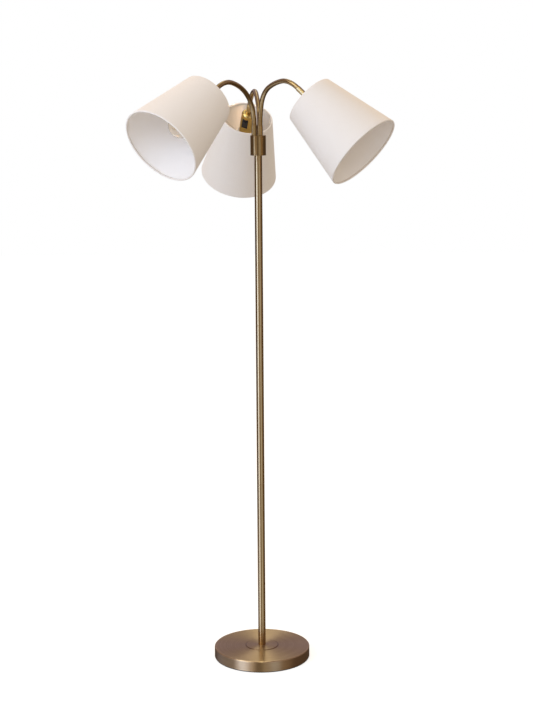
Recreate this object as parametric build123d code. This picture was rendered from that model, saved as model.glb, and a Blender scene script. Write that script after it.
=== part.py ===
from build123d import *

import math
import os

# A floor lamp with one round base, one pole and three lamp heads on flexible goosenecks.
# Millimetres. The origin is the middle of the base's underside, +Z is up and -Y is the front.

# ------------------------------------------------------------------ driving sizes: base
BASE_D = 250.0  # outside diameter of the base cover
BASE_TOP_Z = 30.0  # height of the cover's flat top
BASE_EDGE_R = 3.0  # rounding of the cover's top edge
COVER_T = 1.5  # sheet thickness of the cover
DISC_D = 83.0  # raised disc pressed into the middle of the cover
DISC_H = 1.3  # step up to the raised disc
DISC_RISE = 0.5  # further rise of the disc towards the pole
DISC_FLAT_D = 24.0  # level seat for the pole on the disc
PAD_T = 2.5  # thickness of the foot pad
PAD_INSET = 1.5  # how far the pad's edge lies inside the cover's edge
WEIGHT_RECESS_D = 46.0  # recess under the weight for the nut and its washer
GROMMET_Z = 8.8  # height of the cord outlet above the floor
GROMMET_FLANGE_D = 11.5
GROMMET_FLANGE_T = 1.5
GROMMET_NECK_D = 8.6
CHANNEL_GAP = 1.5  # room round the lead and the grommet in the cast weight

# ------------------------------------------------------------------ driving sizes: pole
POLE_D = 19.5
POLE_WALL = 1.2
POLE_LOWER_L = 435.5
POLE_MIDDLE_L = 417.5
POLE_UPPER_L = 431.5
POLE_SEAM_CHAMFER = 0.4  # broken edges that show where two tubes meet
COUPLING_L = 56.0  # sleeve inside each seam
COUPLING_BORE_D = 12.0
INSERT_L = 20.0  # threaded plug in each end of the pole
NIPPLE_D = 10.0  # threaded tube that clamps the pole to the base and to the hub
NIPPLE_BORE_D = 6.4
NIPPLE_SETBACK = 2.0  # how far a nipple's end stays inside the pole's plug
NIPPLE_PROUD = 1.0  # thread that stands past the hub's nut
NUT_FLATS = 17.0
NUT_H = 5.5
WASHER_D = 40.0
WASHER_T = 1.5
LEAD_D = 5.0  # round lead inside the base and the pole
LEAD_BEND_R = 6.0
LEAD_TAIL = 8.0  # lead that stands out of the nipple inside the hub

# ------------------------------------------------------------------ driving sizes: hub
HUB_D = 39.0
HUB_H = 47.6  # height of the cover above the plate's lip
HUB_WALL = 1.2
HUB_TOP_T = 2.0
HUB_EDGE_R = 0.8
HUB_LIP = 0.3  # how far the plate's lip stands out past the cover
HUB_LIP_T = 2.0
HUB_SPIGOT_H = 5.0
ARM_PITCH_R = 9.5  # radius of the circle that the three ferrules stand on

# ------------------------------------------------------------------ driving sizes: arms
FERRULE_D = 13.5
FERRULE_L = 25.0
FERRULE_SOCKET = 10.0  # depth of the socket that takes the gooseneck's end
FERRULE_STUB_D = 8.0  # threaded end below the ferrule's shoulder
FERRULE_STUB_L = 7.0
FERRULE_BORE_D = 5.0
FERRULE_CHAMFER = 0.6
FERRULE_NUT_FLATS = 13.0
FERRULE_NUT_H = 3.5
GOOSENECK_D = 12.0
GOOSENECK_BORE_D = 8.0
GOOSENECK_L = 228.0  # length between the two ferrules, the same on all three arms

# Each arm leaves the hub upwards. Its ferrule stands at place_deg on the pitch circle and it first
# bends towards heading_deg. It then runs through four equal lengths, each one arc: the bend plane
# turns by the first angle about the arm, and the arm bends by the second.
ARMS = {
    "left": {"place_deg": 184, "heading_deg": 250, "bends": ((0, 41), (-22, 22), (1, 18), (3, 46))},
    "right": {"place_deg": 304, "heading_deg": 291, "bends": ((0, 24), (15, 43), (2, 17), (17, 53))},
    "rear": {"place_deg": 64, "heading_deg": 97, "bends": ((0, 52), (-3, 19), (9, 36), (-3, 37))},
}
SWITCH_TURN = {"left": 0.0, "right": 0.0, "rear": 27.0}  # degrees about the lampholder's axis

# ------------------------------------------------------------------ driving sizes: lamp head
CUP_D = 34.5
CUP_L = 64.0
CUP_WALL = 0.8
CUP_SHOULDER_R = 6.0
CUP_RISE = 17.5  # how far the cup stands out above the shade's top edge
SHADE_TOP_R = 66.0
SHADE_BOTTOM_R = 101.5
SHADE_H = 190.0
SHADE_T = 1.2
RING_WIRE_D = 2.5
RING_INSET = 2.6  # from the shade's edge to the middle of the ring wire
SPOKE_D = 2.2
SPOKES = 3
FITTER_D = 43.0
FITTER_T = 1.6
HOLDER_TOP_GAP = 2.0  # between the switch housing and the lampholder
HOLDER_THREAD_D = 31.5  # threaded skirt that the shade ring screws on to
HOLDER_THREAD_L = 9.0
HOLDER_FLOOR_T = 5.0
SHADE_RING_D = 41.0
SHADE_RING_H = 7.0
SHADE_RING_NOTCHES = 12
SHADE_RING_NOTCH_R = 1.6
BULB_CAP_D = 26.4
BULB_CAP_L = 26.5
BULB_CAP_WALL = 0.8
BULB_CAP_OUT = 2.0  # how much of the cap shows below the lampholder
BULB_D = 60.0
BULB_GLASS_L = 80.5
BULB_NECK_D = 25.0
BULB_BLEND_R = 45.0  # hollow curve between the neck and the round end
BULB_WALL = 1.0
CONTACT_D = 9.0
CONTACT_H = 1.5

# ------------------------------------------------------------------ driving sizes: rocker switch
SWITCH_D = 26.5  # from the cup's top to the middle of the switch
FLANGE_W = 15.5
FLANGE_H = 25.0
FLANGE_STAND = 1.2  # how far the flange stands out past the cup
HOUSING_W = 12.8
HOUSING_H = 21.6
HOUSING_WALL_END = 1.0
HOUSING_WALL_SIDE = 1.2
HOUSING_DEPTH = 11.5
HOUSING_FLOOR_T = 2.0
ROCKER_SIDE_GAP = 0.3
ROCKER_END_GAP = 0.8
ROCKER_TILT = 8.0  # degrees to either side of the middle
ROCKER_T = 5.0
ROCKER_MID_SINK = 0.1  # the valley in the middle of the rocker's face, below the flange's face
ROCKER_PIN_D = 2.0
ROCKER_PIN_DEPTH = 2.4  # from the rocker's face to its pin

# ------------------------------------------------------------------ fits
SLIP = 0.1  # radial clearance of pieces that slide together
RUNNING = 0.06  # radial clearance of the rocker's pins
HOLE_EASE = 0.2  # radial clearance of a bolt or tube in a hole
CAST_GAP = 0.2  # between the cast weight and its cover
WIRE_GAP = 0.15  # between the shade and the ring wires

# ------------------------------------------------------------------ sizes that follow
BASE_R = BASE_D / 2
DISC_R = DISC_D / 2
POLE_BORE_D = POLE_D - 2 * POLE_WALL
POLE_FOOT_Z = BASE_TOP_Z + DISC_H + DISC_RISE
POLE_SEAM_1_Z = POLE_FOOT_Z + POLE_LOWER_L
POLE_SEAM_2_Z = POLE_SEAM_1_Z + POLE_MIDDLE_L
POLE_TOP_Z = POLE_SEAM_2_Z + POLE_UPPER_L
NIPPLE_R = NIPPLE_D / 2
WEIGHT_TOP_Z = BASE_TOP_Z - COVER_T
BASE_NIPPLE_Z = GROMMET_Z + LEAD_BEND_R
BASE_WASHER_Z = BASE_NIPPLE_Z + NUT_H
RECESS_TOP_Z = BASE_WASHER_Z + WASHER_T
HUB_COVER_Z = POLE_TOP_Z + HUB_LIP_T
HUB_TOP_Z = HUB_COVER_Z + HUB_H
HUB_NUT_Z = HUB_COVER_Z + HUB_SPIGOT_H
HUB_NIPPLE_TOP_Z = HUB_NUT_Z + NUT_H + NIPPLE_PROUD
ARM_START_Z = HUB_TOP_Z + FERRULE_L
SHADE_SLOPE = (SHADE_BOTTOM_R - SHADE_TOP_R) / SHADE_H
SHADE_COS = math.cos(math.atan(SHADE_SLOPE))
CUP_R = CUP_D / 2
CUP_MOUTH = CUP_L - CUP_RISE  # places in a head are measured from the shade's top edge
SWITCH_MID = SWITCH_D - CUP_RISE
HOLDER_TOP = SWITCH_MID + HOUSING_H / 2 + HOLDER_TOP_GAP
HOLDER_END = CUP_MOUTH + HOLDER_THREAD_L
BULB_CAP_END = HOLDER_END + BULB_CAP_OUT
BULB_CAP_TOP = BULB_CAP_END - BULB_CAP_L


# ------------------------------------------------------------------ helpers
def cylinder(d, z0, z1):
    """A round bar about Z from z0 to z1."""
    return Pos(0, 0, z0) * Cylinder(d / 2, z1 - z0, align=(Align.CENTER, Align.CENTER, Align.MIN))


def tube(d, bore, z0, z1):
    """A straight tube about Z."""
    return cylinder(d, z0, z1) - cylinder(bore, z0, z1)


def hex_nut(flats, bore, z0, z1):
    """A hexagonal nut about Z."""
    outline = RegularPolygon(flats / 2, 6, major_radius=False) - Circle(bore / 2)
    return Pos(0, 0, z0) * extrude(outline, z1 - z0)


def turned(*edges):
    """A solid of revolution about Z from edges drawn as (radius, height)."""
    return revolve(Plane.XZ * make_face(Wire(edges)), Axis.Z)


def turned_outline(*points):
    """A solid of revolution about Z from a straight-sided outline of (radius, height) points."""
    return revolve(Plane.XZ * make_face(Polyline(*points, close=True)), Axis.Z)


def one_solid(shape):
    """The single solid of a boolean's result."""
    solids = shape.solids()
    assert len(solids) == 1, f"{len(solids)} solids where one was meant"
    return solids[0]


# ------------------------------------------------------------------ base
def base_cover():
    """Pressed round cover: side wall, rounded edge, flat top and raised disc with a level seat."""
    hole_r = NIPPLE_R + HOLE_EASE
    top_z = BASE_TOP_Z + DISC_H
    inner_r = BASE_R - COVER_T
    inner_edge_r = BASE_EDGE_R - COVER_T
    shell = turned(
        Line((BASE_R, PAD_T), (BASE_R, BASE_TOP_Z - BASE_EDGE_R)),
        RadiusArc(
            (BASE_R, BASE_TOP_Z - BASE_EDGE_R), (BASE_R - BASE_EDGE_R, BASE_TOP_Z), -BASE_EDGE_R
        ),
        Line((BASE_R - BASE_EDGE_R, BASE_TOP_Z), (DISC_R + DISC_H, BASE_TOP_Z)),
        Line((DISC_R + DISC_H, BASE_TOP_Z), (DISC_R, top_z)),
        Line((DISC_R, top_z), (DISC_FLAT_D / 2, POLE_FOOT_Z)),
        Line((DISC_FLAT_D / 2, POLE_FOOT_Z), (hole_r, POLE_FOOT_Z)),
        Line((hole_r, POLE_FOOT_Z), (hole_r, top_z - COVER_T)),
        Line((hole_r, top_z - COVER_T), (DISC_R - COVER_T, top_z - COVER_T)),
        Line((DISC_R - COVER_T, top_z - COVER_T), (DISC_R - COVER_T, WEIGHT_TOP_Z)),
        Line((DISC_R - COVER_T, WEIGHT_TOP_Z), (inner_r - inner_edge_r, WEIGHT_TOP_Z)),
        RadiusArc(
            (inner_r - inner_edge_r, WEIGHT_TOP_Z), (inner_r, WEIGHT_TOP_Z - inner_edge_r), inner_edge_r
        ),
        Line((inner_r, WEIGHT_TOP_Z - inner_edge_r), (inner_r, PAD_T)),
        Line((inner_r, PAD_T), (BASE_R, PAD_T)),
    )
    outlet = Pos(0, BASE_R, GROMMET_Z) * Rot(90, 0, 0) * Cylinder(GROMMET_NECK_D / 2 + SLIP, BASE_R)
    return one_solid(shell - outlet)


def base_weight():
    """Cast disc that fills the cover, with a recess for the nut and a channel for the lead."""
    r = BASE_R - COVER_T - CAST_GAP
    body = cylinder(2 * r, PAD_T, WEIGHT_TOP_Z)
    body = fillet(body.edges().group_by(Axis.Z)[-1], BASE_EDGE_R)
    body += cylinder(2 * (DISC_R - COVER_T - CAST_GAP), WEIGHT_TOP_Z, WEIGHT_TOP_Z + DISC_H)
    body -= cylinder(NIPPLE_D + 2 * HOLE_EASE, PAD_T, WEIGHT_TOP_Z + DISC_H)
    body -= cylinder(WEIGHT_RECESS_D, PAD_T, RECESS_TOP_Z)
    channel_top = GROMMET_Z + LEAD_D / 2 + CHANNEL_GAP
    low = (Align.CENTER, Align.MIN, Align.MIN)
    body -= Pos(0, 0, PAD_T) * Box(LEAD_D + 2 * CHANNEL_GAP, BASE_R, channel_top - PAD_T, align=low)
    pocket_y = BASE_R - COVER_T - GROMMET_FLANGE_T - CHANNEL_GAP
    pocket_w = GROMMET_FLANGE_D + 2 * CHANNEL_GAP
    pocket_top = GROMMET_Z + GROMMET_FLANGE_D / 2 + CHANNEL_GAP
    body -= Pos(0, pocket_y, PAD_T) * Box(pocket_w, BASE_R, pocket_top - PAD_T, align=low)
    return one_solid(body)


def base_pad():
    """Foam foot pad that closes the base from below and stands on the floor."""
    return cylinder(BASE_D - 2 * PAD_INSET, 0, PAD_T)


def base_nipple():
    """Threaded tube that draws the pole's foot plug down on to the base."""
    return tube(NIPPLE_D, NIPPLE_BORE_D, BASE_NIPPLE_Z, POLE_FOOT_Z + INSERT_L - NIPPLE_SETBACK)


def base_nut():
    """Washer and nut on the nipple's lower end."""
    washer = tube(WASHER_D, NIPPLE_D + 2 * SLIP, BASE_WASHER_Z, RECESS_TOP_Z)
    nut = hex_nut(NUT_FLATS, NIPPLE_D + 2 * SLIP, BASE_NIPPLE_Z, BASE_WASHER_Z)
    return Compound([washer.solid(), nut.solid()])


def cord_grommet():
    """Rubber bush in the rear wall, flanged on both sides, through which the cord leaves."""
    inner_wall = BASE_R - COVER_T
    chord = math.sqrt(inner_wall**2 - (GROMMET_FLANGE_D / 2) ** 2)
    neck = cylinder(GROMMET_NECK_D, chord - GROMMET_FLANGE_T, BASE_R + GROMMET_FLANGE_T)
    outer = cylinder(GROMMET_FLANGE_D, BASE_R, BASE_R + GROMMET_FLANGE_T)
    outer = fillet(outer.edges().group_by(Axis.Z)[-1], GROMMET_FLANGE_T / 2)
    inner = cylinder(GROMMET_FLANGE_D, chord - GROMMET_FLANGE_T, chord)
    bush = neck + outer + inner
    bush -= cylinder(LEAD_D + 2 * SLIP, 0, BASE_R + 2 * GROMMET_FLANGE_T)
    return one_solid(Pos(0, 0, GROMMET_Z) * Rot(-90, 0, 0) * bush)


def inner_lead():
    """Round lead from the grommet through the base and the whole pole into the hub."""
    route = FilletPolyline(
        (0, BASE_R, GROMMET_Z),
        (0, 0, GROMMET_Z),
        (0, 0, HUB_NIPPLE_TOP_Z + LEAD_TAIL),
        radius=LEAD_BEND_R,
    )
    start = Plane(origin=route @ 0, z_dir=route % 0)
    return one_solid(sweep(start * Circle(LEAD_D / 2), path=route))


# ------------------------------------------------------------------ pole
def pole_tube(z0, z1, chamfer_low, chamfer_high):
    """One pole section with its outer edge broken at each seam."""
    section = tube(POLE_D, POLE_BORE_D, z0, z1)
    circles = section.edges().filter_by(GeomType.CIRCLE)
    ends = circles.filter_by(lambda edge: edge.radius > POLE_BORE_D / 2 + SLIP).sort_by(Axis.Z)
    broken = ([ends[0]] if chamfer_low else []) + ([ends[-1]] if chamfer_high else [])
    return one_solid(chamfer(broken, POLE_SEAM_CHAMFER))


def pole_couplings():
    """The two sleeves that join the three pole sections."""
    sleeves = [
        tube(POLE_BORE_D - 2 * SLIP, COUPLING_BORE_D, z - COUPLING_L / 2, z + COUPLING_L / 2)
        for z in (POLE_SEAM_1_Z, POLE_SEAM_2_Z)
    ]
    return Compound([s.solid() for s in sleeves])


def pole_end_inserts():
    """Threaded plugs in the pole's foot and top."""
    foot = tube(POLE_BORE_D - 2 * SLIP, NIPPLE_D + 2 * SLIP, POLE_FOOT_Z, POLE_FOOT_Z + INSERT_L)
    top = tube(POLE_BORE_D - 2 * SLIP, NIPPLE_D + 2 * SLIP, POLE_TOP_Z - INSERT_L, POLE_TOP_Z)
    return Compound([foot.solid(), top.solid()])


# ------------------------------------------------------------------ hub
def hub_plate():
    """Bottom plate of the hub: a lip that shows as a thin line, and a spigot inside the cover."""
    spigot_d = HUB_D - 2 * HUB_WALL - 2 * SLIP
    plate = cylinder(HUB_D + 2 * HUB_LIP, POLE_TOP_Z, HUB_COVER_Z)
    plate += cylinder(spigot_d, HUB_COVER_Z, HUB_NUT_Z)
    plate -= cylinder(NIPPLE_D + 2 * SLIP, POLE_TOP_Z, HUB_NUT_Z)
    return one_solid(plate)


def hub_nipple():
    """Threaded tube and nut that clamp the hub's plate on to the pole."""
    nipple = tube(NIPPLE_D, NIPPLE_BORE_D, POLE_TOP_Z - INSERT_L + NIPPLE_SETBACK, HUB_NIPPLE_TOP_Z)
    nut = hex_nut(NUT_FLATS, NIPPLE_D + 2 * SLIP, HUB_NUT_Z, HUB_NUT_Z + NUT_H)
    return Compound([nipple.solid(), nut.solid()])


def ferrule_place(arm):
    """Where an arm's ferrule stands on the hub's pitch circle."""
    angle = math.radians(ARMS[arm]["place_deg"])
    return Vector(ARM_PITCH_R * math.cos(angle), ARM_PITCH_R * math.sin(angle), 0)


def hub_cover():
    """Turned can, open below, with a hole for each ferrule in its flat top."""
    can = cylinder(HUB_D, HUB_COVER_Z, HUB_TOP_Z)
    can = fillet(can.edges().group_by(Axis.Z)[-1], HUB_EDGE_R)
    can -= cylinder(HUB_D - 2 * HUB_WALL, HUB_COVER_Z, HUB_TOP_Z - HUB_TOP_T)
    for arm in ARMS:
        can -= Pos(ferrule_place(arm)) * cylinder(FERRULE_STUB_D + 2 * HOLE_EASE, HUB_COVER_Z, HUB_TOP_Z)
    return one_solid(can)


# ------------------------------------------------------------------ arms
def ferrule(wall_t):
    """A ferrule with its stub and nut, standing on Z = 0: the wall it is fastened to lies below."""
    body = cylinder(FERRULE_D, 0, FERRULE_L)
    rims = body.edges().filter_by(GeomType.CIRCLE)
    body = chamfer(rims, FERRULE_CHAMFER)
    body += cylinder(FERRULE_STUB_D, -FERRULE_STUB_L, 0)
    body -= cylinder(FERRULE_BORE_D, -FERRULE_STUB_L, FERRULE_L)
    body -= cylinder(GOOSENECK_D + 2 * SLIP, FERRULE_L - FERRULE_SOCKET, FERRULE_L)
    nut = hex_nut(FERRULE_NUT_FLATS, FERRULE_STUB_D + 2 * SLIP, -wall_t - FERRULE_NUT_H, -wall_t)
    return Compound([one_solid(body), nut.solid()])


def arm_frames(arm):
    """The planes at the start and end of an arm's arcs: Z runs along the arm, X is towards the bend."""
    heading = math.radians(ARMS[arm]["heading_deg"])
    origin = ferrule_place(arm) + Vector(0, 0, ARM_START_Z)
    frame = Plane(origin=origin, x_dir=(math.cos(heading), math.sin(heading), 0), z_dir=(0, 0, 1))
    length = GOOSENECK_L / len(ARMS[arm]["bends"])
    frames = []
    for twist, bend in ARMS[arm]["bends"]:
        start = Plane(frame.location * Rot(0, 0, twist))
        radius = length / math.radians(bend)
        centre = Axis(start.from_local_coords(Vector(radius, 0, 0)), start.y_dir)
        turn = math.radians(bend)
        end_origin = start.from_local_coords(
            Vector(radius * (1 - math.cos(turn)), 0, radius * math.sin(turn))
        )
        end_x = start.x_dir * math.cos(turn) - start.z_dir * math.sin(turn)
        end_z = start.z_dir * math.cos(turn) + start.x_dir * math.sin(turn)
        end = Plane(origin=end_origin, x_dir=end_x, z_dir=end_z)
        frames.append((start, end, centre, bend))
        frame = end
    return frames


def gooseneck_length(start, centre, bend):
    """One bent length of the flexible tube."""
    ring = start * (Circle(GOOSENECK_D / 2) - Circle(GOOSENECK_BORE_D / 2))
    return revolve(ring, centre, revolution_arc=bend)


def gooseneck(arm):
    """The four lengths of an arm. The first and last also fill the ferrules' sockets."""
    frames = arm_frames(arm)
    lengths = [gooseneck_length(start, centre, bend) for start, end, centre, bend in frames]
    tail_l = FERRULE_SOCKET - SLIP
    tail = tube(GOOSENECK_D, GOOSENECK_BORE_D, 0, tail_l)
    lengths[0] = lengths[0] + frames[0][0].offset(-tail_l).location * tail
    lengths[-1] = lengths[-1] + frames[-1][1].location * tail
    return [one_solid(length) for length in lengths]


def head_plane(arm):
    """A head's own frame: origin in the shade's top edge, Z down the shade, X towards the switch."""
    end = arm_frames(arm)[-1][1]
    return Plane(end.offset(FERRULE_L + CUP_RISE).location * Rot(0, 0, SWITCH_TURN[arm]))


# ------------------------------------------------------------------ lamp head, in its own frame
def upper_ferrule():
    """Ferrule between the gooseneck and the cup, its stub inside the cup."""
    return Pos(0, 0, -CUP_RISE) * Rot(180, 0, 0) * ferrule(CUP_WALL)


def socket_cup():
    """Deep drawn cup with a rounded shoulder, a hole for the ferrule and a window for the switch."""
    top = -CUP_RISE
    outer = cylinder(CUP_D, top, CUP_MOUTH)
    outer = fillet(outer.edges().group_by(Axis.Z)[0], CUP_SHOULDER_R)
    inner = cylinder(CUP_D - 2 * CUP_WALL, top + CUP_WALL, CUP_MOUTH)
    inner = fillet(inner.edges().group_by(Axis.Z)[0], CUP_SHOULDER_R - CUP_WALL)
    cup = outer - inner
    cup -= cylinder(FERRULE_STUB_D + 2 * HOLE_EASE, top, top + 2 * CUP_WALL)
    window = Box(CUP_R, HOUSING_W + 2 * SLIP, HOUSING_H + 2 * SLIP, align=(Align.MIN, Align.CENTER, Align.CENTER))
    return one_solid(cup - Pos(CUP_R / 2, 0, SWITCH_MID) * window)


def lampholder():
    """Insulating insert: a body that fills the cup, a threaded skirt below it and the cap's bore."""
    body = cylinder(CUP_D - 2 * CUP_WALL - 2 * SLIP, HOLDER_TOP, CUP_MOUTH)
    body += cylinder(HOLDER_THREAD_D, CUP_MOUTH, HOLDER_END)
    body -= cylinder(BULB_CAP_D + 2 * HOLE_EASE, BULB_CAP_TOP - CONTACT_H, HOLDER_END)
    return one_solid(body)


def shade_ring():
    """Screwed ring with a notched grip that holds the shade's fitter against the cup."""
    top = CUP_MOUTH + FITTER_T
    ring = tube(SHADE_RING_D, HOLDER_THREAD_D + 2 * SLIP, top, top + SHADE_RING_H)
    notches = PolarLocations(SHADE_RING_D / 2 + SHADE_RING_NOTCH_R / 2, SHADE_RING_NOTCHES)
    for place in notches:
        ring -= place * cylinder(2 * SHADE_RING_NOTCH_R, top, top + SHADE_RING_H)
    return one_solid(ring)


def shade_radius(depth):
    """Outside radius of the shade at a depth below its top edge."""
    return SHADE_TOP_R + SHADE_SLOPE * depth


def shade():
    """Conical shade, open at both ends."""
    wall = SHADE_T / SHADE_COS
    return turned_outline(
        (SHADE_TOP_R, 0),
        (SHADE_BOTTOM_R, SHADE_H),
        (SHADE_BOTTOM_R - wall, SHADE_H),
        (SHADE_TOP_R - wall, 0),
    )


def wire_radius(depth):
    """Radius of a ring wire that lies inside the shade's wall."""
    inset = SHADE_T + WIRE_GAP + RING_WIRE_D / 2
    return shade_radius(depth) - inset / SHADE_COS


def shade_frame():
    """Top ring wire, the fitter with its welded spokes, and the loose ring in the bottom edge."""
    top_r = wire_radius(RING_INSET)
    fitter_mid = CUP_MOUTH + FITTER_T / 2
    top = Pos(0, 0, RING_INSET) * Torus(top_r, RING_WIRE_D / 2)
    fitter = tube(FITTER_D, HOLDER_THREAD_D + 2 * HOLE_EASE, CUP_MOUTH, CUP_MOUTH + FITTER_T)
    foot_r = (FITTER_D - SPOKE_D) / 2
    run = Vector(top_r - foot_r, 0, RING_INSET - fitter_mid)
    spoke = Plane(origin=(foot_r, 0, fitter_mid), z_dir=run) * cylinder(SPOKE_D, 0, run.length)
    spoke -= top + fitter
    spokes = [Rot(0, 0, 180 + number * 360 / SPOKES) * spoke for number in range(SPOKES)]
    spider = one_solid(fitter + spokes)
    bottom_depth = SHADE_H - RING_INSET
    bottom = Pos(0, 0, bottom_depth) * Torus(wire_radius(bottom_depth), RING_WIRE_D / 2)
    return Compound([top.solid(), spider, bottom.solid()])


def bulb_profile(inset):
    """Edges of the bulb's outline, inset from the outside, from its neck to its tip."""
    r = BULB_D / 2
    mid = BULB_CAP_END + BULB_GLASS_L - r
    blend_x = BULB_NECK_D / 2 + BULB_BLEND_R
    blend_y = mid - math.sqrt((r + BULB_BLEND_R) ** 2 - blend_x**2)
    lean = math.degrees(math.atan2(mid - blend_y, blend_x))
    neck_r = BULB_NECK_D / 2 - inset
    return (
        Line((neck_r, BULB_CAP_END), (neck_r, blend_y)),
        CenterArc((blend_x, blend_y), BULB_BLEND_R + inset, 180, -lean),
        CenterArc((0, mid), r - inset, -lean, 90 + lean),
    )


def bulb_glass():
    """Hollow pear-shaped envelope."""
    tip = BULB_CAP_END + BULB_GLASS_L
    outside = bulb_profile(0)
    inside = bulb_profile(BULB_WALL)
    neck_r = BULB_NECK_D / 2
    return turned(
        *outside,
        Line((0, tip), (0, tip - BULB_WALL)),
        *inside,
        Line((neck_r - BULB_WALL, BULB_CAP_END), (neck_r, BULB_CAP_END)),
    )


def bulb_cap():
    """Thin screw cap with a closed end and a centre contact."""
    cap = cylinder(BULB_CAP_D, BULB_CAP_TOP, BULB_CAP_END)
    cap -= cylinder(BULB_CAP_D - 2 * BULB_CAP_WALL, BULB_CAP_TOP + BULB_CAP_WALL, BULB_CAP_END)
    cap += cylinder(CONTACT_D, BULB_CAP_TOP - CONTACT_H, BULB_CAP_TOP)
    return one_solid(cap)


# ------------------------------------------------------------------ rocker switch, in a head's frame
FLANGE_FACE = CUP_R + FLANGE_STAND
PIN_X = FLANGE_FACE - ROCKER_PIN_DEPTH
POCKET_W = HOUSING_W - 2 * HOUSING_WALL_SIDE
POCKET_H = HOUSING_H - 2 * HOUSING_WALL_END


def switch_housing():
    """Moulded box through the cup's window, with a saddle flange outside and an open pocket."""
    outward = (Align.MAX, Align.CENTER, Align.CENTER)
    flange = Pos(FLANGE_FACE, 0, 0) * Box(CUP_R / 2, FLANGE_W, FLANGE_H, align=outward)
    flange = fillet(flange.faces().sort_by(Axis.X)[-1].edges(), FLANGE_STAND / 2)
    flange -= cylinder(CUP_D + 2 * SLIP, -FLANGE_H, FLANGE_H)
    box = Pos(FLANGE_FACE - FLANGE_STAND / 2, 0, 0) * Box(HOUSING_DEPTH, HOUSING_W, HOUSING_H, align=outward)
    housing = flange + box
    depth = HOUSING_DEPTH - HOUSING_FLOOR_T + FLANGE_STAND / 2
    housing -= Pos(FLANGE_FACE, 0, 0) * Box(depth, POCKET_W, POCKET_H, align=outward)
    pin_hole = Pos(PIN_X, 0, 0) * Rot(90, 0, 0) * Cylinder(ROCKER_PIN_D / 2 + RUNNING, HOUSING_W)
    return one_solid(Pos(0, 0, SWITCH_MID) * (housing - pin_hole))


def rocker():
    """Rocker with a dished face and two stub pins, tipped to its resting side."""
    half = POCKET_H / 2 - ROCKER_END_GAP
    rise = half * math.tan(math.radians(ROCKER_TILT))
    mid_x = FLANGE_FACE - ROCKER_MID_SINK
    outline = Polyline(
        (mid_x, 0),
        (mid_x + rise, half),
        (mid_x + rise - ROCKER_T, half),
        (mid_x - ROCKER_T, 0),
        (mid_x + rise - ROCKER_T, -half),
        (mid_x + rise, -half),
        close=True,
    )
    width = POCKET_W - 2 * ROCKER_SIDE_GAP
    body = extrude(Plane.XZ * make_face(outline), width / 2, both=True)
    pins = Pos(PIN_X, 0, 0) * Rot(90, 0, 0) * Cylinder(ROCKER_PIN_D / 2, HOUSING_W - 2 * ROCKER_SIDE_GAP)
    tipped = Pos(PIN_X, 0, 0) * Rot(0, -ROCKER_TILT, 0) * Pos(-PIN_X, 0, 0) * (body + pins)
    return one_solid(Pos(0, 0, SWITCH_MID) * tipped)


# ------------------------------------------------------------------ the lamp
def stand_nodes():
    """Base, pole, hub and the three lower ferrules."""
    nodes = {
        "base_cover": base_cover(),
        "base_weight": base_weight(),
        "base_pad": base_pad(),
        "base_nipple": base_nipple(),
        "base_nut": base_nut(),
        "cord_grommet": cord_grommet(),
        "inner_lead": inner_lead(),
        "pole_lower": pole_tube(POLE_FOOT_Z, POLE_SEAM_1_Z, False, True),
        "pole_middle": pole_tube(POLE_SEAM_1_Z, POLE_SEAM_2_Z, True, True),
        "pole_upper": pole_tube(POLE_SEAM_2_Z, POLE_TOP_Z, True, False),
        "pole_couplings": pole_couplings(),
        "pole_end_inserts": pole_end_inserts(),
        "hub_plate": hub_plate(),
        "hub_nipple": hub_nipple(),
        "hub_cover": hub_cover(),
    }
    for arm in ARMS:
        place = Pos(ferrule_place(arm)) * Pos(0, 0, HUB_TOP_Z)
        nodes[f"{arm}_lower_ferrule"] = place * ferrule(HUB_TOP_T)
    return nodes


def head_nodes():
    """The pieces of one lamp head, in the head's own frame."""
    return {
        "upper_ferrule": upper_ferrule(),
        "socket_cup": socket_cup(),
        "lampholder": lampholder(),
        "shade_ring": shade_ring(),
        "switch_housing": switch_housing(),
        "rocker": rocker(),
        "shade": shade(),
        "shade_frame": shade_frame(),
        "bulb_glass": bulb_glass(),
        "bulb_cap": bulb_cap(),
    }


def lamp_nodes():
    """Every node of the lamp, by name."""
    nodes = stand_nodes()
    head = head_nodes()
    for arm in ARMS:
        for number, length in enumerate(gooseneck(arm), start=1):
            nodes[f"{arm}_gooseneck_{number}"] = length
        place = head_plane(arm).location
        for name, piece in head.items():
            nodes[f"{arm}_{name}"] = place * piece
    return nodes


os.makedirs("parts", exist_ok=True)
for node, shape in lamp_nodes().items():
    export_step(shape, f"parts/{node}.step")
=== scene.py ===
import logging
import math
from dataclasses import dataclass
from enum import Enum
from typing import Sequence

import bmesh
import bpy
from mathutils import Matrix, Vector


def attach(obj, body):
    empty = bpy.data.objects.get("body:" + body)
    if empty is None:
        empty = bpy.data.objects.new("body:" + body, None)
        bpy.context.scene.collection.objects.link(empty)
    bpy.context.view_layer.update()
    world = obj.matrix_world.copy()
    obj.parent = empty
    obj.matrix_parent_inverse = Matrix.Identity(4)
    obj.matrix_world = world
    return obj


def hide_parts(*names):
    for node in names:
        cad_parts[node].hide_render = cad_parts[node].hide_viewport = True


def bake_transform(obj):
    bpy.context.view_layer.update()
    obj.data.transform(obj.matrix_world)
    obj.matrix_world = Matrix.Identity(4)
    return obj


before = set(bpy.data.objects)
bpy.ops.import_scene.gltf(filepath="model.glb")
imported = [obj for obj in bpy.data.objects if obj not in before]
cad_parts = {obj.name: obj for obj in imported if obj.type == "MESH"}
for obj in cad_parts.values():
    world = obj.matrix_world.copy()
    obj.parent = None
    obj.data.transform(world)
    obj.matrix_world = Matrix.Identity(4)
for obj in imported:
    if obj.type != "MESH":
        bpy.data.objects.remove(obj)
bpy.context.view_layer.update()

LOG = logging.getLogger("floor_lamp")
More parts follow.
